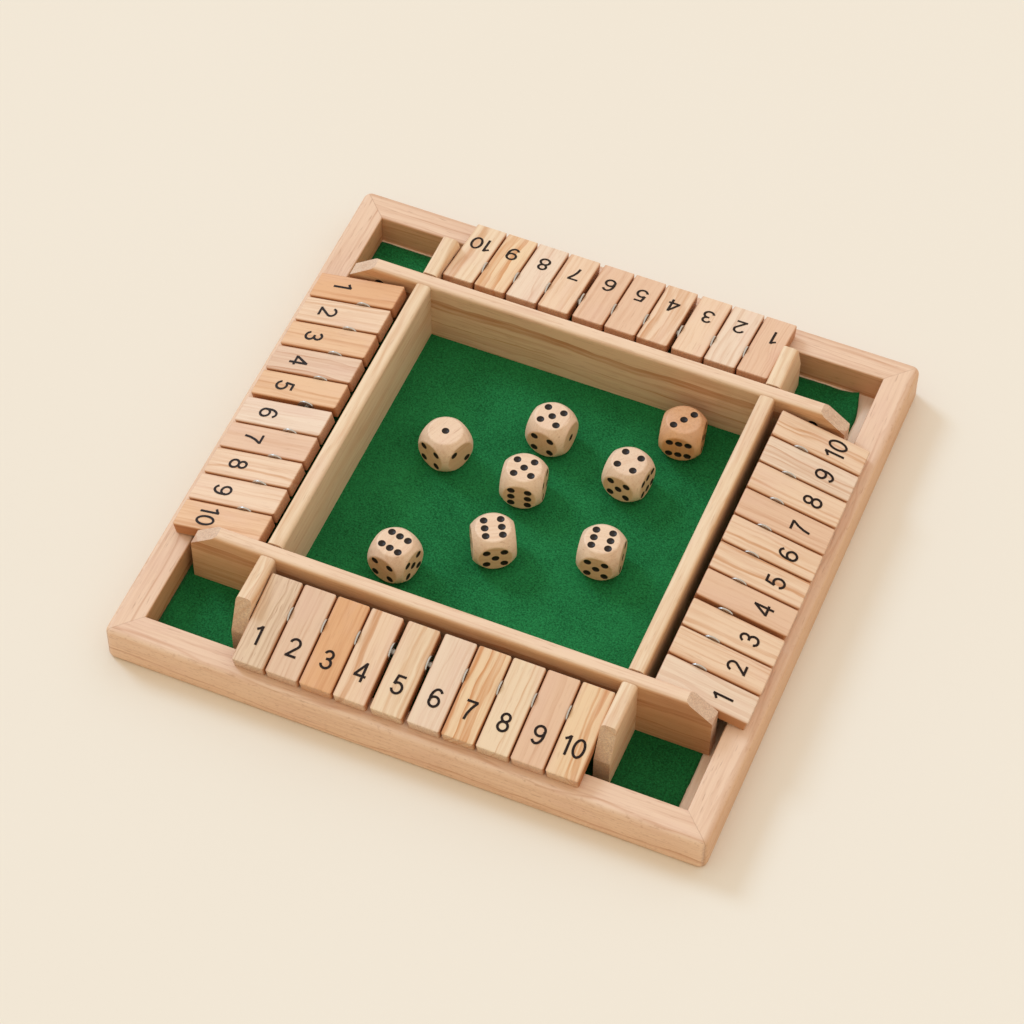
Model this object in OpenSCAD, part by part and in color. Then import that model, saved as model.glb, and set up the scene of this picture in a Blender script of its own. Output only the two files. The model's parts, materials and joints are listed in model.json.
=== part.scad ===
// Four-sided shut the box game: a square felted board with a dice tray in the middle and a row
// of ten numbered tiles on every side. Each row turns on one steel rod. Open, a tile's outer end
// rests on the frame rail; shut, the tile is flipped over the tray wall and hides its number.
// The origin is the middle of the underside, +X points right and +Y to the back.

/* [Frame] */
// Outer width of the square board
board_w = 220; // [185:1:270]
// Width of a frame rail, seen from above
rail_w = 11; // [9:0.5:14]
// Height of a frame rail
rail_h = 15; // [12:0.5:18]
// Rounding along the rail's outer top edge
rail_top_round = 2.2; // [1:0.1:2.8]
// Rounding along the rail's outer bottom edge
rail_foot_round = 1.5; // [0.5:0.1:2.8]
// Rounding along the rail's inner top edge
rail_inner_ease = 0.8; // [0.3:0.1:1.5]
// Plan radius of the board's four corners
rail_corner_r = 3; // [3:0.1:6]

/* [Base and felt] */
// Thickness of the base panel
base_t = 2.5; // [2:0.1:4]
// How far the base panel reaches under the rails
rabbet_d = 4; // [2:0.1:5]
// Gap between the base panel's edge and the side of its rabbet
base_clear = 0.2; // [0.1:0.05:0.4]
// Thickness of the felt
felt_t = 0.7; // [0.5:0.1:1.5]
// Gap between the felt and the front and left rails
felt_gap = 0.2; // [0.1:0.1:3]
// Bare strip between the felt and the back rail
felt_back_gap = 1; // [0.1:0.1:6]
// Bare strip between the felt and the right rail
felt_right_gap = 5; // [0.1:0.1:8]

/* [Tray walls] */
// Width of the channel between a rail and the tray
channel_w = 29.7; // [24:0.1:36]
// Thickness of the walls
wall_t = 5.8; // [4.5:0.1:7]
// Height of the walls' top edge above the table
wall_top = 29.5; // [24:0.1:35]
// Rounding along the walls' top edges
wall_ease = 1.6; // [0.3:0.1:2]
// Gap between a long wall's end and the rail
long_wall_gap = 3; // [0.5:0.1:6]
// Length of the slope at a long wall's end
dogear_run = 9.8; // [3:0.1:10.5]
// Drop of the slope at a long wall's end
dogear_drop = 7.6; // [3:0.1:14]
// Gap between a stub wall's end and the rail
stub_gap = 5.5; // [1:0.1:8]
// Length of the slope at a stub wall's end
stub_run = 5.5; // [3:0.1:9]
// Drop of the slope at a stub wall's end
stub_drop = 13.5; // [3:0.1:16]

/* [Rods and washers] */
// Diameter of a rod
rod_d = 2.5; // [2:0.1:3]
// Chamfer on the rod's ends
rod_chamfer = 0.3; // [0.1:0.1:0.6]
// Distance from the tray's outer face to the rod's axis
rod_offset = 14.7; // [13.5:0.1:17]
// Height of the rod's axis above the table
rod_z = 22.2; // [18.5:0.1:24]
// Depth of the blind holes for the rod's ends
hole_depth = 3.5; // [2:0.1:4]
// Radial clearance of the rod in its blind holes
hole_clear = 0.15; // [0.05:0.05:0.3]
// Chamfer round the mouth of a blind hole
hole_mouth = 0.5; // [0.1:0.1:0.8]
// Gap between the rod's end and the bottom of its hole
rod_end_gap = 0.2; // [0.1:0.1:0.6]
// Diameter of a washer
washer_d = 7; // [5:0.1:8]
// Thickness of a washer
washer_t = 0.5; // [0.3:0.05:1]
// Radial clearance of a washer on the rod
washer_clear = 0.2; // [0.1:0.05:0.3]

/* [Tiles] */
// Thickness of a tile
tile_t = 5; // [4:0.1:6]
// Length of a tile from the rod's axis to its inner end
tile_tail = 11.8; // [8:0.1:13]
// Distance from the board's outer face to the edge that a tile rests on
tile_setback = 4.9; // [4.2:0.1:6]
// Plan radius of a tile's corners
tile_corner_r = 1.2; // [0.8:0.1:2.5]
// Rounding along a tile's edges
tile_ease = 0.6; // [0.2:0.1:1]
// Radial clearance of a tile on its rod
bore_clear = 0.08; // [0.03:0.01:0.1]
// Gap between a washer and the tiles beside it
side_play = 0.05; // [0.03:0.01:0.2]
// Gap between the end tiles and the walls
end_gap = 0.4; // [0.2:0.1:1]
// Extra width of each row's two wider gaps
wide_extra = 1; // [0:0.1:1]
// Gap between a piece and what it rests on
rest_clear = 0.1; // [0.05:0.01:0.2]

/* [Dice] */
// Width of a die
die_w = 15.4; // [14:0.1:17]
// Rounding between a die's faces and the ball that cuts its corners off
die_face_round = 1.3; // [1:0.1:2.4]
// Radius of a face's flat, as a share of the room that the roundings leave for it
die_flat_share = 0.88; // [0.8:0.01:1]
// Diameter of a pip
pip_d = 2.8; // [1.6:0.1:3]
// Depth of a pip
pip_depth = 0.5; // [0.2:0.1:0.9]
// Distance from a face's middle to its corner pips, along each side
pip_spread = 3.1; // [2:0.1:3.6]
// Distance between the middle and the end pip in a row of three
pip_row_step = 3.4; // [2:0.1:3.8]
// Distance from a six's middle to its rows of three
pip_row_spread = 3; // [2:0.1:3.6]

/* [Hidden] */
// Pieces that repeat on every side: the sides run front, right, back, left
SIDES = ["front", "right", "back", "left"];
tile_count = 10;
// Tiles that each side's wider gaps follow, counted from that side's player's left: 0 stands for
// the wall before the first tile, and after the last tile comes the wall at the row's other end
WIDE_AFTER = [[4, 5], [3, 10], [3, 6], [0, 5]];

// Each die: [x, y, turn about Z, number on top, number on the front]
DICE = [
    [-35.7, 12.5, -23, 1, 4],
    [-3.4, 33.5, -5, 5, 4],
    [-3.7, 8.2, 10, 5, 6],
    [29.3, 25.4, -7, 4, 5],
    [40.4, 50.4, 8.5, 3, 6],
    [-3.5, -20.3, 29, 6, 5],
    [33.2, -10.1, 6.5, 6, 5],
    [-32.4, -39.4, -12, 6, 4],
];
// A die's own axes: 1, 2 and 3 lie towards +X, +Y and +Z, and opposite faces add up to seven
FACE_AXIS = [[1, 0, 0], [0, 1, 0], [0, 0, 1], [0, 0, -1], [0, -1, 0], [-1, 0, 0]];

// Frame
rail_inner = board_w / 2 - rail_w;
rail_straight = board_w / 2 - rail_corner_r;
floor_z = base_t + felt_t;

// Tray
tray_out = rail_inner - channel_w;
tray_in = tray_out - wall_t;
wall_h = wall_top - floor_z;

// Rods
rod_r = tray_out + rod_offset;
hole_d = rod_d + 2 * hole_clear;
rod_half = tray_in + hole_depth - rod_end_gap;

// Tiles across the row
tile_gap = washer_t + 2 * side_play;
row_play = 2 * end_gap + (tile_count - 1) * tile_gap + 2 * wide_extra;
tile_w = (2 * tray_in - row_play) / tile_count;

// Tile along its length: the lower outer edge is an arc whose centre lies rest_run out from the
// rod and rest_drop below it when the tile lies open on the rail
rest_run = board_w / 2 - tile_setback - rod_r;
rest_drop = rod_z - rail_h - rest_clear - tile_ease;
arc_below = tile_t / 2 - tile_ease;
arc_out = sqrt(rest_run * rest_run + rest_drop * rest_drop - arc_below * arc_below);
tile_reach = arc_out + tile_ease;
tile_tilt = atan2(rest_drop, rest_run) - atan2(arc_below, arc_out);

// Dice: the centre of each face's rounding lies die_straight from the die's middle along the
// face's axis and die_flat_r out from that axis. The ball lies die_tuck inside the rounding's
// outermost points, so that the two surfaces cross at a clear line a little further down.
die_tuck = 0.02;
die_straight = die_w / 2 - die_face_round;
die_flat_r = die_flat_share * die_straight;
die_arc_out = sqrt(die_straight * die_straight + die_flat_r * die_flat_r);
die_ball_r = die_arc_out + die_face_round - die_tuck;

// Slack that cutting tools run past a face
over = 1;
$fn = 48;

function tile_name(side, k) = str("tile_", SIDES[side], k < 10 ? "_0" : "_", k);
function die_name(k) = str("die_", k);
// How many of its side's wider gaps a tile comes after
function wide_gaps(side, k) = len([for (after = WIDE_AFTER[side]) if (k > after) after]);
function tile_x(side, k) =
    -tray_in + end_gap + (k - 0.5) * tile_w + (k - 1) * tile_gap + wide_gaps(side, k) * wide_extra;

// Turns a piece drawn for the front to its own side
module at_side(side) {
    rotate([0, 0, 90 * side])
        children();
}

// Both ends of a piece that is the same left and right
module both_ends() {
    for (m = [0, 1])
        mirror([m, 0, 0])
            children();
}

// Extrudes an outline drawn in Y and Z along X, centred
module along_x(length) {
    translate([-length / 2, 0, 0])
        rotate([90, 0, 90])
            linear_extrude(length)
                children();
}

// Extrudes an outline drawn in X and Z along Y, centred
module along_y(length) {
    translate([0, length / 2, 0])
        rotate([90, 0, 0])
            linear_extrude(length)
                children();
}

// What rounding takes off a square corner: the corner points to +X +Y, the arc's centre is 0, 0
module corner_waste(r) {
    difference() {
        square(r + over);
        circle(r);
    }
}

module round_rect(w, h, r) {
    difference() {
        square([w, h], center = true);
        for (i = [0, 1], j = [0, 1])
            mirror([i, 0])
                mirror([0, j])
                    translate([w / 2 - r, h / 2 - r])
                        corner_waste(r);
    }
}

// Section of a rail from x = 0 out to the board's outer face at x = depth
module rail_section(depth) {
    difference() {
        square([depth, rail_h]);
        translate([depth - rail_top_round, rail_h - rail_top_round])
            corner_waste(rail_top_round);
        translate([depth - rail_foot_round, rail_foot_round])
            mirror([0, 1])
                corner_waste(rail_foot_round);
    }
}

module rail_bar() {
    translate([0, -rail_inner, 0])
        along_x(2 * rail_straight)
            mirror([1, 0])
                difference() {
                    rail_section(rail_w);
                    translate([rail_inner_ease, rail_h - rail_inner_ease])
                        mirror([1, 0])
                            corner_waste(rail_inner_ease);
                    translate([-over, -over])
                        square([rabbet_d + over, base_t + over]);
                }
}

// Plan of a rail between its mitres, up to the corner arcs
module mitred_plan() {
    polygon([
        [-rail_inner, -rail_inner],
        [-rail_straight, -rail_straight],
        [-rail_straight, -board_w / 2],
        [rail_straight, -board_w / 2],
        [rail_straight, -rail_straight],
        [rail_inner, -rail_inner],
    ]);
}

// Half of the board's rounded corner, up to the mitre
module corner_half() {
    translate([rail_straight, -rail_straight, 0])
        rotate([0, 0, -90])
            rotate_extrude(angle = 45)
                rail_section(rail_corner_r);
}

module rail(side) {
    color("burlywood")
        at_side(side) {
            intersection() {
                rail_bar();
                linear_extrude(rail_h)
                    mitred_plan();
            }
            both_ends()
                corner_half();
        }
}

module base_panel() {
    width = 2 * (rail_inner + rabbet_d - base_clear);
    color("tan")
        translate([-width / 2, -width / 2, 0])
            cube([width, width, base_t]);
}

module felt() {
    width = 2 * rail_inner - felt_gap - felt_right_gap;
    depth = 2 * rail_inner - felt_gap - felt_back_gap;
    color("seagreen")
        translate([-rail_inner + felt_gap, -rail_inner + felt_gap, base_t])
            cube([width, depth, felt_t]);
}

// Section across a wall, with its two top edges eased
module wall_section() {
    difference() {
        translate([-wall_t / 2, 0])
            square([wall_t, wall_h]);
        for (m = [0, 1])
            mirror([m, 0])
                translate([wall_t / 2 - wall_ease, wall_h - wall_ease])
                    corner_waste(wall_ease);
    }
}

// Blind hole that takes a rod's end, into the face of the wall at the row's end, its mouth chamfered
module rod_hole() {
    translate([tray_in - over, -rod_r, rod_z])
        rotate([0, 90, 0]) {
            cylinder(d = hole_d, h = hole_depth + over);
            cylinder(
                d1 = hole_d + 2 * (hole_mouth + over),
                d2 = hole_d - 2 * over,
                h = hole_mouth + 2 * over
            );
        }
}

module long_wall(side) {
    half = rail_inner - long_wall_gap;
    color("wheat")
        at_side(side)
            difference() {
                translate([0, -tray_out + wall_t / 2, floor_z])
                    intersection() {
                        along_y(wall_t)
                            polygon([
                                [-half, 0],
                                [half, 0],
                                [half, wall_h - dogear_drop],
                                [half - dogear_run, wall_h],
                                [dogear_run - half, wall_h],
                                [-half, wall_h - dogear_drop],
                            ]);
                        along_x(2 * half)
                            wall_section();
                    }
                both_ends()
                    rotate([0, 0, -90])
                        rod_hole();
            }
}

module tray_side_walls() {
    color("wheat")
        both_ends()
            translate([tray_out - wall_t / 2, 0, floor_z])
                along_y(2 * tray_in)
                    wall_section();
}

module stub_wall() {
    length = channel_w - stub_gap;
    difference() {
        translate([tray_out - wall_t / 2, -tray_out, floor_z])
            intersection() {
                along_x(wall_t)
                    mirror([1, 0])
                        polygon([
                            [0, 0],
                            [length, 0],
                            [length, wall_h - stub_drop],
                            [length - stub_run, wall_h],
                            [0, wall_h],
                        ]);
                along_y(2 * length)
                    wall_section();
            }
        rod_hole();
    }
}

module stub_walls() {
    color("wheat")
        for (side = [0, 2])
            at_side(side)
                both_ends()
                    stub_wall();
}

module rods() {
    color("silver")
        for (side = [0:3])
            at_side(side)
                translate([0, -rod_r, rod_z])
                    rotate([0, 90, 0])
                        rod();
}

module rod() {
    straight = 2 * (rod_half - rod_chamfer);
    cylinder(d = rod_d, h = straight, center = true);
    for (m = [0, 1])
        mirror([0, 0, m])
            translate([0, 0, straight / 2])
                cylinder(d1 = rod_d, d2 = rod_d - 2 * rod_chamfer, h = rod_chamfer);
}

module washer() {
    rotate([0, 90, 0])
        difference() {
            cylinder(d = washer_d, h = washer_t);
            translate([0, 0, -over])
                cylinder(d = rod_d + 2 * washer_clear, h = washer_t + 2 * over);
        }
}

module washers() {
    color("gainsboro")
        for (side = [0:3], k = [1:tile_count - 1])
            at_side(side)
                translate([tile_x(side, k) + tile_w / 2 + side_play, -rod_r, rod_z])
                    washer();
}

// A tile with its rod's axis at the origin and its outer end towards -Y
module tile_blank() {
    length = tile_reach + tile_tail;
    difference() {
        translate([0, tile_tail - length / 2, 0])
            intersection() {
                linear_extrude(tile_t, center = true)
                    round_rect(tile_w, length, tile_corner_r);
                along_x(tile_w)
                    round_rect(length, tile_t, tile_ease);
                along_y(length)
                    round_rect(tile_w, tile_t, tile_ease);
            }
        rotate([0, 90, 0])
            cylinder(d = rod_d + 2 * bore_clear, h = tile_w + 2 * over, center = true);
    }
}

module tile(side, k) {
    color("navajowhite")
        at_side(side)
            translate([tile_x(side, k), -rod_r, rod_z])
                rotate([tile_tilt, 0, 0])
                    tile_blank();
}

// Places of a number's pips on its face, along the face's first and second in-plane axis
function pips(n) =
    let (s = pip_spread)
    n == 1 ? [[0, 0]] :
    n == 2 ? [[s, -s], [-s, s]] :
    n == 3 ? [[s, -s], [0, 0], [-s, s]] :
    n == 4 ? [[s, s], [s, -s], [-s, s], [-s, -s]] :
    n == 5 ? [[s, s], [s, -s], [0, 0], [-s, s], [-s, -s]] :
    [for (i = [-1:1], j = [-1, 1]) [i * pip_row_step, j * pip_row_spread]];

module pip_cuts(n) {
    ball_r = (pip_d * pip_d / 4 + pip_depth * pip_depth) / (2 * pip_depth);
    normal = FACE_AXIS[n - 1];
    first = abs(normal.x) == 1 ? [0, 1, 0] : [1, 0, 0];
    second = abs(normal.z) == 1 ? [0, 1, 0] : [0, 0, 1];
    for (p = pips(n))
        translate(normal * (die_w / 2 - pip_depth + ball_r) + first * p.x + second * p.y)
            sphere(ball_r);
}

// One pair of a die's faces: a disc with rounded rims
module die_faces() {
    rotate_extrude()
        union() {
            translate([0, -die_w / 2])
                square([die_flat_r, die_w]);
            translate([0, -die_straight])
                square([die_flat_r + die_face_round, 2 * die_straight]);
            for (m = [0, 1])
                mirror([0, m])
                    translate([die_flat_r, die_straight])
                        circle(die_face_round);
        }
}

module die_blank() {
    // The ball's own surface starts below the roundings' outermost points
    core_w = 2 * die_straight * die_ball_r / die_arc_out;
    difference() {
        union() {
            intersection() {
                cube(core_w, center = true);
                sphere(die_ball_r);
            }
            die_faces();
            rotate([90, 0, 0])
                die_faces();
            rotate([0, 90, 0])
                die_faces();
        }
        for (n = [1:6])
            pip_cuts(n);
    }
}

module die(k) {
    place = DICE[k - 1];
    top = FACE_AXIS[place[3] - 1];
    back = -FACE_AXIS[place[4] - 1];
    right = cross(back, top);
    color("bisque")
        translate([place[0], place[1], floor_z + rest_clear + die_w / 2])
            rotate([0, 0, place[2]])
                multmatrix([right, back, top])
                    die_blank();
}

for (side = [0:3])
    rail(side);
base_panel();
felt();
long_wall(0);  // long_wall_front
long_wall(2);  // long_wall_back
tray_side_walls();
stub_walls();
rods();
washers();
for (side = [0:3], k = [1:tile_count])
    tile(side, k);
for (k = [1:len(DICE)])
    die(k);
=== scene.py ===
import functools
import json
import math
import random

import bpy
from mathutils import Matrix, Vector, geometry, noise


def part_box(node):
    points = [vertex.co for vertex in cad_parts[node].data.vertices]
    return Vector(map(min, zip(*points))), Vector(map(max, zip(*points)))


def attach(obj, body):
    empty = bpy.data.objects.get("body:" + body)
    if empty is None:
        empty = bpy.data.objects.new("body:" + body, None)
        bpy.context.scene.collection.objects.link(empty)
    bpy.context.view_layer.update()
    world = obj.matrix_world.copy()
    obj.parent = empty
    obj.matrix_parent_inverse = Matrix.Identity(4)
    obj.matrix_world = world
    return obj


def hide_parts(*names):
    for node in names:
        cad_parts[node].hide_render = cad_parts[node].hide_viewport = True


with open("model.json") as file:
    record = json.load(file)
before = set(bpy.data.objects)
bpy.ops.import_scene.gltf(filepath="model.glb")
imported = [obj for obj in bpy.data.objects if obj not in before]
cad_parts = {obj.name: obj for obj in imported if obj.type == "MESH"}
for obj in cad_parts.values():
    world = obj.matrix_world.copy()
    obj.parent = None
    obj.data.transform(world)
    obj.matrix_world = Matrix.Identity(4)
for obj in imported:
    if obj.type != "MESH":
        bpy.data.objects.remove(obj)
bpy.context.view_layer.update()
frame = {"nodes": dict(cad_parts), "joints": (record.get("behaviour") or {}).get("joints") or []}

MM = 0.001
X_AXIS, Y_AXIS, Z_AXIS = Vector((1, 0, 0)), Vector((0, 1, 0)), Vector((0, 0, 1))
SIDES = ["front", "right", "back", "left"]
TILES_PER_SIDE = 10

# ---------------------------------------------------------------- camera

CAMERA_TARGET = Vector((-5.0, 0.6, 1.3)) * MM
CAMERA_DISTANCE = 1200 * MM
CAMERA_AZIMUTH = math.radians(22.02)
CAMERA_ELEVATION = math.radians(53.11)
CAMERA_ROLL = math.radians(0.83)
CAMERA_LENS_MM = 118.81
CAMERA_SENSOR_MM = 36.0


def make_camera():
    """A camera that looks at the board as the photograph does."""
    data = bpy.data.cameras.new("camera")
    data.lens = CAMERA_LENS_MM
    data.sensor_width = CAMERA_SENSOR_MM
    data.clip_start = 0.05
    data.clip_end = 20
    camera = bpy.data.objects.new("camera", data)
    bpy.context.scene.collection.objects.link(camera)
    flat = math.cos(CAMERA_ELEVATION)
    back = Vector((
        math.sin(CAMERA_AZIMUTH) * flat,
        -math.cos(CAMERA_AZIMUTH) * flat,
        math.sin(CAMERA_ELEVATION),
    ))
    right = Z_AXIS.cross(back).normalized()
    up = back.cross(right)
    rolled_right = right * math.cos(CAMERA_ROLL) + up * math.sin(CAMERA_ROLL)
    rolled_up = back.cross(rolled_right)
    turn = Matrix((rolled_right, rolled_up, back)).transposed().to_4x4()
    camera.matrix_world = Matrix.Translation(CAMERA_TARGET + back * CAMERA_DISTANCE) @ turn
    bpy.context.scene.camera = camera


# ---------------------------------------------------------------- colours


def rgb(red, green, blue):
    """A colour as it looks on screen, 0 to 255, as the linear colour that a shader takes."""
    linear = []
    for value in (red, green, blue):
        value /= 255
        linear.append(value / 12.92 if value <= 0.04045 else ((value + 0.055) / 1.055) ** 2.4)
    return (*linear, 1.0)


# ---------------------------------------------------------------- shader building


class Nodes:
    """A node tree, written as calls that return sockets."""

    def __init__(self, owner):
        owner.use_nodes = True
        self.tree = owner.node_tree
        self.tree.nodes.clear()

    def put(self, socket, value):
        if isinstance(value, bpy.types.NodeSocket):
            self.tree.links.new(value, socket)
        else:
            socket.default_value = value

    def add(self, kind, inputs=None, **settings):
        node = self.tree.nodes.new("ShaderNode" + kind)
        for key, value in settings.items():
            setattr(node, key, value)
        for key, value in (inputs or {}).items():
            self.put(node.inputs[key], value)
        return node

    def math(self, operation, a, b=0.0, clamp=False):
        node = self.add("Math", {0: a, 1: b}, operation=operation, use_clamp=clamp)
        return node.outputs[0]

    def vector(self, operation, a, b=(0, 0, 0), scale=None):
        node = self.add("VectorMath", {0: a, 1: b}, operation=operation)
        if scale is not None:
            self.put(node.inputs["Scale"], scale)
        return node.outputs["Value" if operation in ("LENGTH", "DOT_PRODUCT") else "Vector"]

    def dot(self, a, axis):
        return self.vector("DOT_PRODUCT", a, tuple(axis))

    def noise(self, at, scale, detail=2.0, roughness=0.5, colour=False):
        node = self.add("TexNoise", {
            "Vector": at, "Scale": scale, "Detail": detail, "Roughness": roughness,
        })
        return node.outputs["Color" if colour else "Fac"]

    def noise_1d(self, at, detail):
        node = self.add("TexNoise", {"W": at, "Scale": 1.0, "Detail": detail}, noise_dimensions="1D")
        return node.outputs["Fac"]

    def span(self, value, low, high, to_low=0.0, to_high=1.0, smooth=False):
        node = self.add("MapRange", {
            "Value": value, "From Min": low, "From Max": high, "To Min": to_low, "To Max": to_high,
        }, clamp=True)
        node.interpolation_type = "SMOOTHSTEP" if smooth else "LINEAR"
        return node.outputs[0]

    def mix(self, factor, a, b, blend="MIX"):
        node = self.add("Mix", data_type="RGBA", blend_type=blend)
        self.put(node.inputs["Factor"], factor)
        self.put(node.inputs[6], a)
        self.put(node.inputs[7], b)
        return node.outputs[2]

    def bump(self, height, distance, strength):
        return self.add("Bump", {"Height": height, "Distance": distance, "Strength": strength}).outputs[0]


class Shader(Nodes):
    """A material of one principled surface."""

    def __init__(self, name):
        self.material = bpy.data.materials.new(name)
        super().__init__(self.material)
        self.surface = self.add("BsdfPrincipled")
        self.add("OutputMaterial", {"Surface": self.surface.outputs["BSDF"]})

    def set(self, **inputs):
        for key, value in inputs.items():
            self.put(self.surface.inputs[key.replace("_", " ")], value)


def millimetres(shader):
    """The surface point in the board's frame at rest, in millimetres."""
    point = shader.add("TexCoord").outputs["Object"]
    return shader.vector("SCALE", point, scale=1 / MM)


def from_middle(s, point):
    """How far a point lies from the board's middle along X and along Y, without sign."""
    flat = s.vector("ABSOLUTE", point)
    return s.dot(flat, X_AXIS), s.dot(flat, Y_AXIS)


# ---------------------------------------------------------------- wood

# Rows of a grain frame: along the grain, across it, and out of the board's wide face
GRAIN_X = (X_AXIS, Y_AXIS, Z_AXIS)
GRAIN_Y = (Y_AXIS, -X_AXIS, Z_AXIS)

# Tones of bare, clear-lacquered pine: the wood between the rings, and the rings themselves
TONES = {
    "cream": (rgb(241, 213, 178), rgb(216, 168, 124)),
    "pale": (rgb(240, 213, 185), rgb(214, 170, 136)),
    "peach": (rgb(240, 206, 172), rgb(212, 158, 114)),
    "pink": (rgb(232, 197, 166), rgb(202, 150, 114)),
    "orange": (rgb(230, 176, 127), rgb(194, 122, 70)),
    "honey": (rgb(235, 190, 146), rgb(196, 128, 74)),
    "tan": (rgb(232, 202, 170), rgb(180, 136, 100)),
    "rail": (rgb(239, 204, 174), rgb(212, 164, 130)),
    "wall": (rgb(241, 208, 176), rgb(201, 145, 103)),
    "amber": (rgb(241, 207, 165), rgb(212, 148, 94)),
    "clay": (rgb(233, 193, 159), rgb(212, 162, 126)),
    "panel": (rgb(243, 219, 193), rgb(220, 184, 152)),
    "die": (rgb(242, 211, 180), rgb(216, 168, 128)),
}
BLUSH = rgb(230, 186, 164)
FLECK = rgb(164, 110, 74)
END_GRAIN = rgb(182, 150, 132)
GRAIN_DEPTH = 0.05 * MM


def wood(name, tone, grain, seed, middle=(0, 0, 0), ring=2.6, contrast=0.55, cut=60.0, pith=40.0,
         wander=2.5, bend=0.013, flecks=0.3, roughness=0.5, sides=None, ends=0.8, finish=None):
    """Planed softwood, in millimetres. The rings' pith lies pith away from middle, in a direction
    that is cut degrees from the grain frame's third axis: 0 is flat sawn and 90 quarter sawn. It
    wanders by wander, the faster along the plank the larger bend is. sides gives the painted shade
    of the narrow faces: the reach from the board's middle where it changes, its colour inside and
    outside that reach, and its strength. ends is how strongly the end grain shows. finish is called as
    finish(shader, point, axes, colour, height, fibre) and returns the colour and height to use."""
    s = Shader(name)
    draw = random.Random(seed)
    light, dark = TONES[tone]
    raw = millimetres(s)
    axes = [s.dot(s.vector("SUBTRACT", raw, tuple(middle)), axis) for axis in grain]
    along = s.math("ADD", axes[0], draw.uniform(-400, 400))
    plank = s.add("CombineXYZ", {"X": along, "Y": axes[1], "Z": axes[2]}).outputs[0]
    local = s.vector("ADD", plank, tuple(draw.uniform(-60, 60) * i for i in (0, 1, 1)))

    # The rings are cylinders round a pith that wanders slowly along the plank
    slow = s.vector("MULTIPLY", plank, (bend, 0.05, 0.05))
    sway = s.vector("SUBTRACT", s.noise(slow, 1.0, 3.0, 0.5, colour=True), (0.5, 0.5, 0.5))
    sway = s.vector("MULTIPLY", sway, (0, 2 * wander, 2 * wander))
    turn = math.radians(cut)
    at = (0, math.sin(turn) * pith, math.cos(turn) * pith)
    away = s.vector("MULTIPLY", s.vector("ADD", s.vector("ADD", plank, sway), at), (0, 1, 1))
    radius = s.vector("LENGTH", away)
    uneven = s.noise_1d(s.math("MULTIPLY", radius, 0.31), 1.0)
    count = s.math("ADD", s.math("DIVIDE", radius, ring), s.math("MULTIPLY", uneven, 1.7))
    phase = s.math("FRACT", count)
    rise = s.span(phase, 0.22, 0.82, smooth=True)
    fall = s.span(phase, 0.82, 1.0, 1.0, 0.0, smooth=True)
    late = s.math("MULTIPLY", rise, fall)
    year = s.math("FLOOR", count)
    strength = s.noise_1d(s.math("MULTIPLY", year, 3.71), 0.0)
    late = s.math("MULTIPLY", late, s.span(strength, 0.35, 0.65, 0.15, 1.0))

    # Fibres run along the grain, and short dark flecks follow them
    fibre = s.noise(s.vector("MULTIPLY", local, (0.06, 2.2, 2.2)), 1.0, 4.0, 0.65)
    streak = s.noise(s.vector("MULTIPLY", local, (0.025, 0.85, 0.85)), 1.0, 3.0, 0.6)
    fleck = s.span(s.noise(s.vector("MULTIPLY", local, (0.16, 1.6, 1.6)), 1.0, 2.0, 0.5), 0.62, 0.76)
    cloud = s.noise(s.vector("MULTIPLY", local, (0.03, 0.09, 0.09)), 1.0, 2.0, 0.5)
    blush = s.noise(s.vector("MULTIPLY", local, (0.04, 0.12, 0.12)), 1.0, 2.0, 0.5)

    depth = s.math("MULTIPLY", late, contrast)
    depth = s.math("ADD", depth, s.span(streak, 0.40, 0.74, -0.16, 0.42 * contrast + 0.06))
    depth = s.math("ADD", depth, s.span(fibre, 0.3, 0.7, -0.12, 0.14))
    depth = s.math("ADD", depth, s.span(cloud, 0.3, 0.7, -0.08, 0.18), clamp=True)
    colour = s.mix(depth, light, dark)
    colour = s.mix(s.span(blush, 0.5, 0.75, 0.0, 0.3), colour, BLUSH)
    colour = s.mix(s.math("MULTIPLY", fleck, flecks), colour, FLECK)
    height = s.math("SUBTRACT", s.math("MULTIPLY", fibre, 0.6), s.math("MULTIPLY", late, 0.5))

    # Painted shade: the narrow faces are made darker and browner than the wide ones
    normal = s.add("TexCoord").outputs["Normal"]
    if sides:
        threshold, inner, outer, amount = sides
        reach = s.math("MAXIMUM", *from_middle(s, raw))
        side_shade = s.mix(s.span(reach, threshold - 0.2, threshold + 0.2), inner, outer)
        sideways = s.math("ABSOLUTE", s.dot(normal, grain[1]))
        sideways = s.math("MULTIPLY", s.span(sideways, 0.55, 0.95, smooth=True), amount)
        colour = s.mix(sideways, colour, side_shade, blend="MULTIPLY")

    # End grain soaks up the lacquer: darker, greyer and open-pored
    facing = s.math("ABSOLUTE", s.dot(normal, grain[0]))
    end = s.math("MULTIPLY", s.span(facing, 0.38, 0.66, smooth=True), ends)
    pores = s.noise(raw, 1.9, 3.0, 0.75)
    end_colour = s.mix(s.span(pores, 0.35, 0.65, 0.15, 0.9), colour, END_GRAIN)
    colour = s.mix(end, colour, end_colour)
    height = s.math("SUBTRACT", height, s.math("MULTIPLY", end, pores))
    if finish:
        colour, height = finish(s, raw, axes, colour, height, fibre)

    s.set(
        Base_Color=colour,
        Roughness=s.span(s.math("ADD", fibre, late), 0.3, 1.4, roughness - 0.06, roughness + 0.12),
        Specular_IOR_Level=0.35,
        Normal=s.bump(height, GRAIN_DEPTH, 0.6),
    )
    return s.material


# ---------------------------------------------------------------- dressing the CAD nodes


def dress(node, material):
    """Gives a CAD node its material."""
    materials = frame["nodes"][node].data.materials
    materials.clear()
    materials.append(material)


def middle_of(low, high):
    """The middle of a box, in millimetres."""
    return (low + high) / 2 / MM


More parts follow.
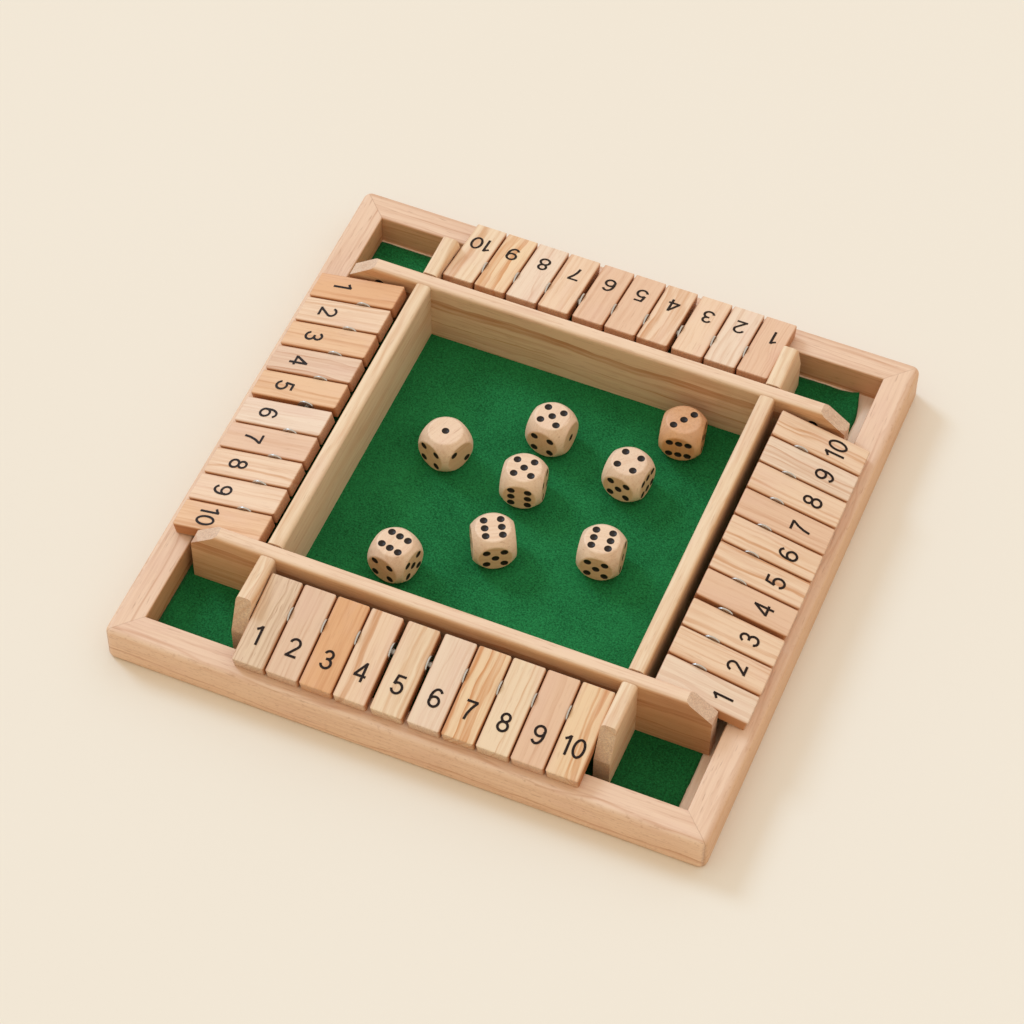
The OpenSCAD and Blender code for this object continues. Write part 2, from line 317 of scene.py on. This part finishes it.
# Frame: reaches from the board's middle, in millimetres
RAIL_MIDLINE = 100.5
HANDLED_FROM, HANDLED_TO = 107.6, 109.4
WORN_FROM, WORN_TO = 106.8, 108.4
MITRE = rgb(164, 116, 84)
HANDLED = rgb(176, 120, 82)
WORN = rgb(204, 156, 118)
# Each rail's contrast and width of the rings, how much darker its outer edge is, and the painted
# shade of its inner and outer faces
RAIL_WOOD = {
    "front": (0.85, 4.2, 0.0, rgb(234, 210, 180), rgb(255, 252, 252)),
    "right": (0.65, 4.2, 0.35, rgb(234, 210, 180), rgb(248, 240, 224)),
    "back": (1.1, 3.4, 0.45, rgb(238, 220, 200), rgb(248, 240, 224)),
    "left": (0.85, 4.2, 0.1, rgb(234, 210, 180), rgb(248, 240, 224)),
}


def rail_finish(worn):
    """The fine dark line where two rails meet, handling marks along the outer edges, and an outer
    edge that is darker by worn."""
    def finish(s, raw, axes, colour, height, fibre):
        x, y = from_middle(s, raw)
        apart = s.math("ABSOLUTE", s.math("SUBTRACT", x, y))
        broken = s.math("ADD", apart, s.span(fibre, 0.3, 0.7, -0.12, 0.12))
        tight = s.noise(s.vector("SCALE", raw, scale=0.02), 1.0, 2.0, 0.5)
        tight = s.span(tight, 0.35, 0.65, 0.16, 0.5)
        line = s.math("MULTIPLY", s.span(broken, 0.08, 0.34, 1.0, 0.0, smooth=True), tight)
        colour = s.mix(line, colour, MITRE)
        height = s.math("SUBTRACT", height, s.math("MULTIPLY", line, 2.0))
        reach = s.math("MAXIMUM", x, y)
        marks = s.noise(s.vector("MULTIPLY", raw, (0.5, 0.5, 1.2)), 1.0, 3.0, 0.6)
        marks = s.span(marks, 0.56, 0.68, 0.0, 0.35)
        marks = s.math("MULTIPLY", s.span(reach, HANDLED_FROM, HANDLED_TO), marks)
        colour = s.mix(marks, colour, HANDLED)
        colour = s.mix(s.span(reach, WORN_FROM, WORN_TO, 0.0, worn, smooth=True), colour, WORN)
        return colour, height
    return finish


def dress_frame():
    for i, side in enumerate(SIDES):
        grain = GRAIN_X if side in ("front", "back") else GRAIN_Y
        contrast, ring, worn, inner, outer = RAIL_WOOD[side]
        dress(f"rail_{side}", wood(
            f"wood_rail_{side}", "rail", grain, 11 + i, middle=middle_of(*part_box(f"rail_{side}")),
            ring=ring, contrast=contrast, cut=40 + 5 * i, pith=55, wander=5, bend=0.015,
            flecks=0.4, sides=(RAIL_MIDLINE, inner, outer, 0.9), finish=rail_finish(worn)))
    dress("base_panel", wood("wood_base", "panel", GRAIN_Y, 21, ring=7.0, contrast=0.3, cut=8, pith=150,
                             wander=10, roughness=0.6))


# Walls: reaches from the board's middle, in millimetres. The rod holes are blind, and stop short of
# the far face
WALL_MIDLINE = 66.4
HOLE_END_FROM, HOLE_END_TO = 67.2, 67.6
HOLE_RIM_FROM, HOLE_RIM_TO = 1.75, 1.95
# Painted shade, redder and darker, at the right-hand end of the front wall's outward face, in the front
# right pocket
WALL_POCKET_SHADE_FROM, WALL_POCKET_SHADE_TO = 58, 88
WALL_POCKET_SHADE = rgb(236, 222, 214)
# Painted shade inside the rod holes
HOLE_SHADE = rgb(58, 36, 24)
# Painted shade of the walls' inner and outer faces
FACE_SIDE_SHADE, STUB_SIDE_SHADE = rgb(234, 214, 192), rgb(253, 245, 238)
# Each wall's tone, seed, grain, cut, painted shade of its inner and outer faces, and how much painted
# pocket shade it has
WALL_WOOD = {
    "long_wall_front": ("wall", 31, GRAIN_X, 22, rgb(240, 227, 210), FACE_SIDE_SHADE, 1.0),
    "long_wall_back": ("wall", 32, GRAIN_X, 16, rgb(245, 240, 236), FACE_SIDE_SHADE, 0.0),
    "tray_side_walls": ("cream", 33, GRAIN_Y, 12, rgb(250, 247, 247), FACE_SIDE_SHADE, 0.0),
    "stub_walls": ("cream", 34, GRAIN_Y, 16, STUB_SIDE_SHADE, STUB_SIDE_SHADE, 0.0),
}


def wall_finish(wall_pocket_shade):
    """Painted shade inside the rod holes, and painted shade, redder and darker by wall_pocket_shade,
    towards the right-hand end of its outward face, in the front right corner pocket."""
    def finish(s, raw, axes, colour, height, fibre):
        right = s.span(s.dot(raw, X_AXIS), WALL_POCKET_SHADE_FROM, WALL_POCKET_SHADE_TO, 0.0, wall_pocket_shade, smooth=True)
        outward = s.dot(s.add("TexCoord").outputs["Normal"], -Y_AXIS)
        pocket_shade_mask = s.math("MULTIPLY", right, s.span(outward, 0.55, 0.95))
        colour = s.mix(pocket_shade_mask, colour, WALL_POCKET_SHADE, blend="MULTIPLY")
        x, y = from_middle(s, raw)
        from_rod = s.vector("LENGTH", s.add("CombineXYZ", {
            "X": s.math("SUBTRACT", s.math("MAXIMUM", x, y), ROD_REACH),
            "Y": s.math("SUBTRACT", s.dot(raw, Z_AXIS), ROD_Z),
        }).outputs[0])
        # Painted shade inside the rod holes, out to where they stop
        hole_shade_mask = s.span(from_rod, HOLE_RIM_FROM, HOLE_RIM_TO, 0.85, 0.0)
        depth = s.span(s.math("MINIMUM", x, y), HOLE_END_FROM, HOLE_END_TO, 1.0, 0.0)
        return s.mix(s.math("MULTIPLY", hole_shade_mask, depth), colour, HOLE_SHADE), height
    return finish


def dress_walls():
    """The walls: quarter to rift sawn strips, so that their faces show close straight grain."""
    for node, (tone, seed, grain, cut, inner, outer, wall_pocket_shade) in WALL_WOOD.items():
        dress(node, wood(
            node.replace("_wall", "_wood"), tone, grain, seed, middle=middle_of(*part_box(node)), ring=5.4,
            contrast=0.75 - 0.15 * wall_pocket_shade, cut=cut, pith=60, wander=5, bend=0.02, flecks=0.3,
            sides=(WALL_MIDLINE, inner, outer, 0.9), finish=wall_finish(wall_pocket_shade)))


# Each side's tiles from 1 to 10: tone, contrast and width of the rings, and how they were cut
TILE_WOOD = {
    "front": [
        ("tan", 0.5, 1.6, 60), ("pink", 0.5, 2.8, 62),
        ("orange", 0.5, 3.4, 40), ("peach", 0.9, 5.0, 70),
        ("cream", 0.7, 4.4, 60), ("pale", 0.4, 2.4, 75),
        ("amber", 1.0, 6.4, 56), ("cream", 0.7, 4.2, 66),
        ("clay", 0.6, 3.4, 78), ("amber", 0.9, 5.6, 50),
    ],
    "right": [
        ("pale", 0.5, 3.6, 70), ("peach", 0.9, 2.6, 72),
        ("peach", 0.5, 3.2, 55), ("clay", 0.4, 2.8, 80),
        ("peach", 0.95, 2.8, 76), ("peach", 0.8, 4.0, 60),
        ("clay", 0.8, 3.0, 74), ("peach", 0.7, 4.2, 66),
        ("pale", 0.9, 3.4, 70), ("peach", 0.8, 4.4, 64),
    ],
    "back": [
        ("clay", 0.5, 1.5, 82), ("pale", 0.5, 2.8, 70),
        ("peach", 0.5, 3.4, 62), ("peach", 0.8, 3.8, 50),
        ("clay", 0.4, 3.0, 72), ("clay", 0.5, 3.2, 76),
        ("peach", 0.5, 4.4, 60), ("pale", 0.7, 3.6, 68),
        ("amber", 0.8, 3.8, 70), ("cream", 0.8, 5.0, 58),
    ],
    "left": [
        ("orange", 0.3, 3.6, 55), ("peach", 0.7, 2.2, 80),
        ("honey", 0.7, 4.6, 34), ("pink", 0.9, 3.8, 70),
        ("honey", 0.35, 3.4, 66), ("pale", 0.6, 3.0, 76),
        ("clay", 0.5, 2.8, 60), ("peach", 0.7, 4.2, 68),
        ("peach", 0.6, 2.6, 74), ("honey", 0.7, 4.4, 44),
    ],
}


def tile_frames():
    """Side, number, box, hinge point and the tile's own axes at rest, for every tile: along its
    length towards the board's outside, across the row and out of the number face."""
    for joint in frame["joints"]:
        if not joint["name"].startswith("flip_"):
            continue
        _, side, number = joint["name"].split("_")
        low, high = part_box(f"tile_{side}_{number}")
        across = -Vector(joint["axis"])
        outward = across.cross(Z_AXIS)
        along = outward * math.cos(TILT) - Z_AXIS * math.sin(TILT)
        yield side, int(number), low, high, Vector(joint["pos_m"]), along, across, along.cross(across)


def tile_tilt():
    """How far an open tile's outer end hangs below its rod, from the first tile's box."""
    low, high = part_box("tile_front_01")
    rise, run = high.z - low.z, high.y - low.y
    # rise = L sin + t cos and run = L cos + t sin, solved for the angle by bisection
    small, large = 0.0, math.radians(45)
    for _ in range(60):
        tilt = (small + large) / 2
        length = (run - TILE_T * math.sin(tilt)) / math.cos(tilt)
        if length * math.sin(tilt) + TILE_T * math.cos(tilt) < rise:
            small = tilt
        else:
            large = tilt
    return tilt


TILE_T = 5.0 * MM
TILT = tile_tilt()
ROD = next(Vector(joint["pos_m"]) / MM for joint in frame["joints"] if joint["name"] == "flip_right_01")
ROD_REACH, ROD_Z = ROD.x, ROD.z
# The painted side shade is the same on both sides of its reach
TILE_SIDE_SHADE = (50, rgb(200, 160, 126), rgb(200, 160, 126), 0.9)
# Painted shade of the tiles' edges along the gaps, and of the rod end that faces the wall
TILE_EDGE_SHADE = rgb(190, 124, 78)
TILE_ROD_END_SHADE = rgb(246, 226, 208)


def rubbed_rim(half_width, along):
    """Painted shade: rounded-over edges a little darker along the gaps between tiles, and a darker
    rod end, which faces the wall."""
    def finish(s, raw, axes, colour, height, fibre):
        out = s.span(s.math("ABSOLUTE", axes[1]), half_width - 0.9, half_width - 0.1, smooth=True)
        colour = s.mix(s.math("MULTIPLY", out, 0.45), colour, TILE_EDGE_SHADE)
        normal = s.add("TexCoord").outputs["Normal"]
        inward = s.span(s.dot(normal, -along), 0.45, 0.9, smooth=True)
        return s.mix(inward, colour, TILE_ROD_END_SHADE, blend="MULTIPLY"), height
    return finish


def dress_tiles():
    for side, number, low, high, hinge, along, across, up in tile_frames():
        tone, contrast, ring, cut = TILE_WOOD[side][number - 1]
        seed = 100 + 20 * SIDES.index(side) + number
        draw = random.Random(seed)
        half_width = abs((high - low).dot(across)) / 2 / MM
        name = f"tile_{side}_{number:02d}"
        dress(name, wood(
            f"wood_{name}", tone, (along, across, up), seed, middle=middle_of(low, high), ring=ring,
            contrast=contrast, cut=cut * draw.choice([-1, 1]), pith=draw.uniform(24, 60), wander=3.0,
            bend=0.03, flecks=0.6 if tone == "tan" else 0.2, roughness=0.46, sides=TILE_SIDE_SHADE,
            finish=rubbed_rim(half_width, along)))


# ---------------------------------------------------------------- dice

# Pips, in millimetres: their diameter, how far they lie from the face's middle lines, and the depth
# from which a point belongs to a face
PIP_D, PIP_SPREAD, PIP_ROW_STEP, PIP_ROW_SPREAD = 2.8, 3.1, 3.4, 3.0
FACE_FROM, FACE_TO = 6.2, 6.4
PIP_PAINT = rgb(32, 19, 11)
DIE_SPECKLE = rgb(206, 150, 112)
# Painted shade on the dice's upright faces
DIE_SIDE_SHADE = rgb(236, 208, 176)
ORANGE_DIE = 5
# Turn of each die about Z, the number on top and the number on its front
DIE_TURNS = [(-23, 1, 4), (-5, 5, 4), (10, 5, 6), (-7, 4, 5),
             (8.5, 3, 6), (29, 6, 5), (6.5, 6, 5), (-12, 6, 4)]
FACE_AXIS = [Vector(a) for a in ((1, 0, 0), (0, 1, 0), (0, 0, 1), (0, 0, -1), (0, -1, 0), (-1, 0, 0))]


def die_axes(turn, top, front):
    """The die's own X, Y and Z axes as they lie at rest."""
    top, back = FACE_AXIS[top - 1], -FACE_AXIS[front - 1]
    rows = (back.cross(top), back, top)
    stand = Matrix.Rotation(math.radians(turn), 3, "Z")
    return [stand @ Vector((rows[0][i], rows[1][i], rows[2][i])) for i in range(3)]


def pip_mask(s, p):
    """1 on the painted pips. p holds the three coordinates in the die's frame."""
    def near(u, v, x, y):
        du, dv = s.math("SUBTRACT", u, x), s.math("SUBTRACT", v, y)
        return s.math("SQRT", s.math("ADD", s.math("MULTIPLY", du, du), s.math("MULTIPLY", dv, dv)))

    def fold(operation, values):
        return functools.reduce(lambda a, b: s.math(operation, a, b), values)

    parts = []
    for axis, (positive, negative) in enumerate([(1, 6), (2, 5), (3, 4)]):
        u, v = [coordinate for i, coordinate in enumerate(p) if i != axis]
        au, av = s.math("ABSOLUTE", u), s.math("ABSOLUTE", v)
        middle = near(au, av, 0, 0)
        corner = near(au, av, PIP_SPREAD, PIP_SPREAD)
        crossed = s.math("ADD", corner, s.span(s.math("MULTIPLY", u, v), -0.01, 0.01, 0, 9))
        row_ends, row_middle = near(au, av, PIP_ROW_STEP, PIP_ROW_SPREAD), near(au, av, 0, PIP_ROW_SPREAD)
        shapes = {1: middle, 2: crossed, 3: fold("MINIMUM", [middle, crossed]), 4: corner,
                  5: fold("MINIMUM", [middle, corner]), 6: fold("MINIMUM", [row_ends, row_middle])}
        for number, sign in ((positive, 1), (negative, -1)):
            height = s.math("MULTIPLY", p[axis], sign)
            painted = s.span(shapes[number], PIP_D / 2 - 0.08, PIP_D / 2 + 0.04, 1, 0)
            parts.append(s.math("MULTIPLY", painted, s.span(height, FACE_FROM, FACE_TO)))
    return fold("MAXIMUM", parts)


def die_finish(up):
    """Pale speckled wood with painted shade that makes the upright faces a little darker, and painted
    pips. up is the number of the die's axis that stands upright."""
    def finish(s, raw, axes, colour, height, fibre):
        # wood() holds the die's axes as Z, X, Y
        p = [axes[1], axes[2], axes[0]]
        ball = s.vector("LENGTH", s.add("CombineXYZ", {"X": p[0], "Y": p[1], "Z": p[2]}).outputs[0])
        size = [s.math("ABSOLUTE", coordinate) for coordinate in p]
        largest = s.math("MAXIMUM", s.math("MAXIMUM", size[0], size[1]), size[2])
        flat = s.span(s.math("SUBTRACT", ball, largest), 1.80, 2.20, 1.0, 0.0, smooth=True)
        upright = s.span(s.math("SUBTRACT", largest, size[up]), 0.5, 1.0)
        shaded = s.math("MULTIPLY", s.math("MULTIPLY", flat, upright), 0.55)
        colour = s.mix(shaded, colour, DIE_SIDE_SHADE, blend="MULTIPLY")
        speckle = s.span(s.noise(raw, 1.6, 3.0, 0.8), 0.52, 0.70, 0.0, 0.35)
        colour = s.mix(speckle, colour, DIE_SPECKLE)
        return s.mix(pip_mask(s, p), colour, PIP_PAINT), height
    return finish


def dress_dice():
    for k, (turn, top, front) in enumerate(DIE_TURNS, start=1):
        x, y, z = die_axes(turn, top, front)
        up = max(range(3), key=lambda i: abs((x, y, z)[i].z))
        dress(f"die_{k}", wood(
            f"wood_die_{k}", "orange" if k == ORANGE_DIE else "die", (z, x, y), 300 + k,
            middle=middle_of(*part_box(f"die_{k}")), ring=2.0, contrast=0.35, cut=50, pith=40,
            wander=1.0, flecks=0.35, roughness=0.45, ends=0.2, finish=die_finish(up)))


# ---------------------------------------------------------------- metal


ROD_END = 62.6
NO_END = 999.0
WIRE_SHADE = rgb(150, 148, 145)
ROD_END_SHADE = rgb(60, 50, 42)


def steel(name, colour, roughness, ends=NO_END):
    """Plain steel, with painted shade past ends from the middle of a row, inside the wall holes, in
    millimetres.
    """
    s = Shader(name)
    point = millimetres(s)
    scratch = s.noise(s.vector("MULTIPLY", point, (3, 3, 14)), 1.0, 3.0, 0.6)
    along = s.math("MINIMUM", *from_middle(s, point))
    colour = s.mix(s.span(scratch, 0.3, 0.7, 0.0, 0.3), colour, WIRE_SHADE)
    s.set(
        Base_Color=s.mix(s.span(along, ends, ends + 0.6), colour, ROD_END_SHADE),
        Metallic=1.0,
        Roughness=s.span(scratch, 0.3, 0.7, roughness - 0.06, roughness + 0.1),
        Normal=s.bump(scratch, 0.01 * MM, 0.5),
    )
    return s.material


# ---------------------------------------------------------------- felt


def felt_material():
    s = Shader("felt_green")
    point = millimetres(s)
    warp = s.vector("SCALE", s.noise(point, 0.35, 2.0, 0.5, colour=True), scale=2.2)
    tangled = s.vector("ADD", point, warp)
    fibre = s.noise(s.vector("MULTIPLY", tangled, (1.0, 2.2, 1.5)), 1.7, 5.0, 0.72)
    fuzz = s.noise(tangled, 5.5, 3.0, 0.7)
    mottle = s.noise(point, 0.055, 3.0, 0.55)
    grit = s.noise(point, 1.5, 2.0, 0.8)
    shade = s.math("ADD", s.math("MULTIPLY", fibre, 0.40), s.math("MULTIPLY", fuzz, 0.15))
    shade = s.math("ADD", shade, s.math("MULTIPLY", grit, 0.45))
    shade = s.math("ADD", shade, s.math("MULTIPLY", mottle, 0.15))
    colour = s.mix(s.span(shade, 0.45, 0.70), rgb(0, 66, 27), rgb(40, 141, 77))
    # Painted shade: outside the tray, in the pockets, the felt is darker, the more so at the right
    reach = s.math("MAXIMUM", *from_middle(s, point))
    felt_pocket_shade = s.span(s.dot(point, X_AXIS), -20, 20, 0.2, 0.8)
    felt_pocket_shade = s.math("MULTIPLY", felt_pocket_shade, s.span(reach, 60, 70, smooth=True))
    colour = s.mix(felt_pocket_shade, colour, rgb(200, 208, 196), blend="MULTIPLY")
    s.set(
        Base_Color=colour,
        Roughness=0.95,
        Specular_IOR_Level=0.15,
        Sheen_Weight=0.35,
        Sheen_Roughness=0.5,
        Sheen_Tint=rgb(120, 190, 140),
        Normal=s.bump(shade, 0.30 * MM, 0.7),
    )
    return s.material


FELT_STEP = 1.3 * MM
FELT_RAGGED = 0.35 * MM
FELT_SKIN = 0.02 * MM
FELT_EDGE_DROP = 0.15 * MM
CURL_RADIUS, CURL_RISE, CURL_DRAW = 13 * MM, 3.4 * MM, 2.6 * MM


def make_felt():
    """The felt as a thin laid cloth, cut a little raggedly along its bare strips. Its back right
    corner has come unglued: it has drawn in and curls up off the panel."""
    low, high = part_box("felt")
    nx, ny = round((high.x - low.x) / FELT_STEP), round((high.y - low.y) / FELT_STEP)
    corner = Vector((high.x, high.y, 0))

    def ragged(x, y):
        at = Vector((x, y, 0)) / MM
        return FELT_RAGGED * max(0, 0.5 + 0.6 * noise.noise(at / 9) + 0.45 * noise.noise(at / 2.3))

    verts, faces = [], []
    for layer in (1, 0):
        for j in range(ny + 1):
            for i in range(nx + 1):
                x, y = low.x + i / nx * (high.x - low.x), low.y + j / ny * (high.y - low.y)
                inset = ragged(x, y)
                edge = i in (0, nx) or j in (0, ny)
                x -= inset * (i == nx)
                y -= inset * (j == ny)
                top = high.z - (FELT_EDGE_DROP if edge else FELT_SKIN)
                z = top if layer else low.z + FELT_SKIN
                lifted = max(0, 1 - (Vector((x, y, 0)) - corner).length / CURL_RADIUS)
                inward = Vector((-0.9, -0.45)) * CURL_DRAW * lifted ** 1.5
                verts.append((x + inward.x, y + inward.y, z + CURL_RISE * lifted ** 2.2))
    count = (nx + 1) * (ny + 1)

    def at(layer, i, j):
        return (0 if layer else count) + j * (nx + 1) + i

    for j in range(ny):
        for i in range(nx):
            faces.append((at(1, i, j), at(1, i + 1, j), at(1, i + 1, j + 1), at(1, i, j + 1)))
            faces.append((at(0, i, j), at(0, i, j + 1), at(0, i + 1, j + 1), at(0, i + 1, j)))
    ring = [(i, 0) for i in range(nx)] + [(nx, j) for j in range(ny)]
    ring += [(i, ny) for i in range(nx, 0, -1)] + [(0, j) for j in range(ny, 0, -1)]
    for a, b in zip(ring, ring[1:] + ring[:1]):
        faces.append((at(1, *b), at(1, *a), at(0, *a), at(0, *b)))
    cloth = mesh_piece("felt_cloth", verts, faces, felt_material())
    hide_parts("felt")
    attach(cloth, "board")


def mesh_piece(name, verts, faces, material, smooth=True):
    mesh = bpy.data.meshes.new(name)
    mesh.from_pydata(verts, [], faces)
    mesh.validate()
    if smooth:
        mesh.shade_smooth()
    mesh.materials.append(material)
    piece = bpy.data.objects.new(name, mesh)
    bpy.context.scene.collection.objects.link(piece)
    return piece


# ---------------------------------------------------------------- numbers

# A numeral is one unit tall and drawn as centre lines of a stroke of constant width
STROKE = 0.126
HALF = STROKE / 2
ARC_STEPS = 28


def arc(x, y, rx, ry, start, end):
    """Points of an elliptic arc, degrees counterclockwise from +X."""
    steps = max(6, round(ARC_STEPS * abs(end - start) / 360 * 2))
    angles = [math.radians(start + (end - start) * i / steps) for i in range(steps + 1)]
    return [(x + rx * math.cos(a), y + ry * math.sin(a)) for a in angles]


TOP = 1 - HALF
NUMERALS = {
    0: [arc(0.31, 0.5, 0.31 - HALF, TOP - 0.5, 0, 360)],
    1: [[(0.27, 1.0), (0.27, 0.0)], [(0.27, 0.97), (0.17, 0.86), (0.03, 0.77)]],
    2: [arc(0.31, 0.70, 0.235, TOP - 0.70, 172, -38) + [(0.10, HALF)], [(0.035, HALF), (0.585, HALF)]],
    3: [arc(0.30, 0.735, 0.195, TOP - 0.735, 168, -90), arc(0.30, 0.30, 0.235, 0.30 - HALF, 90, -168),
        [(0.22, 0.53), (0.31, 0.53)]],
    4: [[(0.44, 1.0), (0.44, 0.0)], [(0.0, 0.295), (0.60, 0.295)], [(0.425, 0.94), (0.05, 0.31)]],
    5: [[(0.13, TOP), (0.55, TOP)], [(0.175, 0.97), (0.105, 0.50)],
        arc(0.30, 0.335, 0.245, 0.335 - HALF, 142, -165)],
    6: [arc(0.315, 0.31, 0.235, 0.31 - HALF, 0, 360), arc(0.345, 0.5, 0.265, TOP - 0.5, 42, 208)],
    7: [[(0.03, TOP), (0.575, TOP)], [(0.545, TOP), (0.36, 0.62), (0.255, 0.32), (0.21, 0.0)]],
    8: [arc(0.31, 0.735, 0.195, TOP - 0.735, 0, 360), arc(0.31, 0.295, 0.235, 0.295 - HALF, 0, 360)],
    9: [arc(0.305, 0.69, 0.235, TOP - 0.69, 0, 360), arc(0.275, 0.5, 0.265, TOP - 0.5, -138, 28)],
}
NUMERAL_WIDTH = 0.62
NUMERAL_HEIGHT = 7.3 * MM
TEN_STEP = 0.49
PRINT_THICKNESS = 0.03 * MM


def stroke_quads(line):
    """Quads of a stroke along a centre line, joined square to the line at every point."""
    points = [Vector(p) for p in line]
    closed = (points[0] - points[-1]).length < 1e-6
    sides = []
    for i, p in enumerate(points):
        before = points[i - 1] if i else (points[-2] if closed else p)
        after = points[i + 1] if i + 1 < len(points) else (points[1] if closed else p)
        run = (after - before).normalized()
        square = Vector((-run.y, run.x)) * HALF
        sides.append((p + square, p - square))
    return [(a[0], a[1], b[1], b[0]) for a, b in zip(sides, sides[1:])]


def number_outline(number):
    """Vertices and triangles of a number as one flat sheet without overlaps, centred on its middle."""
    digits = [int(d) for d in str(number)]
    width = NUMERAL_WIDTH + TEN_STEP * (len(digits) - 1)
    verts, faces = [], []
    for place, digit in enumerate(digits):
        for line in NUMERALS[digit]:
            for quad in stroke_quads(line):
                faces.append(list(range(len(verts), len(verts) + 4)))
                verts += [p + Vector((place * TEN_STEP - width / 2, -0.5)) for p in quad]
    merged, _, triangles, _, _, came_from = geometry.delaunay_2d_cdt(verts, [], faces, 1, 1e-5)
    return merged, [t for t, origin in zip(triangles, came_from) if origin]


def ink():
    s = Shader("ink_print")
    point = millimetres(s)
    soak = s.noise(point, 2.2, 4.0, 0.65)
    s.set(
        Base_Color=s.mix(s.span(soak, 0.35, 0.75), rgb(29, 16, 10), rgb(46, 30, 21)),
        Roughness=s.span(soak, 0.3, 0.7, 0.45, 0.65),
        Specular_IOR_Level=0.2,
        Normal=s.bump(soak, 0.02 * MM, 0.5),
    )
    return s.material


NUMBER_FROM_ROD = 11.3 * MM
NUMBER_CLEAR = 0.002 * MM


def print_numbers():
    material = ink()
    outlines = {k: number_outline(k) for k in range(1, TILES_PER_SIDE + 1)}
    for side, number, low, high, hinge, along, across, face_up in tile_frames():
        middle = hinge + across * ((low + high) / 2 - hinge).dot(across)
        middle += along * NUMBER_FROM_ROD + face_up * (TILE_T / 2 + NUMBER_CLEAR)
        merged, triangles = outlines[number]
        right, up = across, -along
        n = len(merged)
        verts = []
        for level in (PRINT_THICKNESS, 0.0):
            for p in merged:
                verts.append(middle + (right * p.x + up * p.y) * NUMERAL_HEIGHT + face_up * level)
        faces = [tuple(t) for t in triangles] + [tuple(n + v for v in reversed(t)) for t in triangles]
        # A wall stands along every edge that has a triangle on one side only
        edges = dict.fromkeys((a, b) for t in triangles for a, b in zip(t, list(t[1:]) + [t[0]]))
        for a, b in edges:
            if (b, a) not in edges:
                faces.append((b, a, n + a, n + b))
        piece = mesh_piece(f"number_{side}_{number:02d}", verts, faces, material, smooth=False)
        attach(piece, f"tile_{side}_{number:02d}")


# ---------------------------------------------------------------- stage and light


FLOOR_HALF = 6.0
BACKDROP = rgb(241, 230, 213)
# The room's light: white overhead and warmer towards the horizon, with a window at the back, so that
# its front half is dimmer and yellower
HORIZON, ZENITH = (0.62, 0.48, 0.33, 1), (1.03, 1.0, 0.95, 1)
FRONT_TINT, BACK_TINT = (0.80, 0.76, 0.55, 1), (1.20, 1.24, 1.45, 1)
SUN_ENERGY = 0.86
SUN_ANGLE = math.radians(18)
SUN_COLOUR = (0.69, 1.0, 1.37)
SUN_FROM = Vector((-1.15, 0.5, 1.0))


def make_floor():
    s = Shader("stage_floor")
    soft = s.noise(millimetres(s), 0.004, 2.0, 0.5)
    s.set(
        Base_Color=s.mix(soft, rgb(240, 230, 213), rgb(242, 233, 218)),
        Roughness=0.9,
        Specular_IOR_Level=0.1,
    )
    half = FLOOR_HALF
    verts = [(-half, -half, 0), (half, -half, 0), (half, half, 0), (-half, half, 0)]
    floor = mesh_piece("stage_floor", verts, [(0, 1, 2, 3)], s.material)


def make_light():
    scene = bpy.context.scene
    scene.world = bpy.data.worlds.new("world")
    w = Nodes(scene.world)
    # What the camera, metal and glass see is the plain pale backdrop
    path = w.add("LightPath").outputs
    shown = path["Is Camera Ray"]
    for kind in ("Is Glossy Ray", "Is Transmission Ray"):
        shown = w.math("MAXIMUM", shown, path[kind])
    seen = w.add("Background", {"Color": BACKDROP})
    place = w.add("SeparateXYZ", {0: w.add("TexCoord").outputs["Generated"]}).outputs
    room = w.mix(place["Z"], HORIZON, ZENITH)
    window = w.mix(w.span(place["Y"], -1.0, 1.0), FRONT_TINT, BACK_TINT)
    lit = w.add("Background", {"Color": w.mix(1.0, room, window, blend="MULTIPLY")})
    surface = w.add("MixShader", {0: shown, 1: lit.outputs[0], 2: seen.outputs[0]})
    w.add("OutputWorld", {"Surface": surface.outputs[0]})

    lamp = bpy.data.lights.new("key", "SUN")
    lamp.energy = SUN_ENERGY
    lamp.angle = SUN_ANGLE
    lamp.color = SUN_COLOUR
    key = bpy.data.objects.new("key", lamp)
    scene.collection.objects.link(key)
    key.rotation_euler = SUN_FROM.to_track_quat("Z", "Y").to_euler()
    scene.view_settings.view_transform = "Standard"


# ---------------------------------------------------------------- build

make_camera()
dress_frame()
dress_walls()
dress_tiles()
dress_dice()
dress("rods", steel("steel_rod", rgb(190, 186, 180), 0.35, ends=ROD_END))
dress("washers", steel("steel_washer", rgb(212, 211, 208), 0.26))
make_felt()
print_numbers()
make_floor()
make_light()
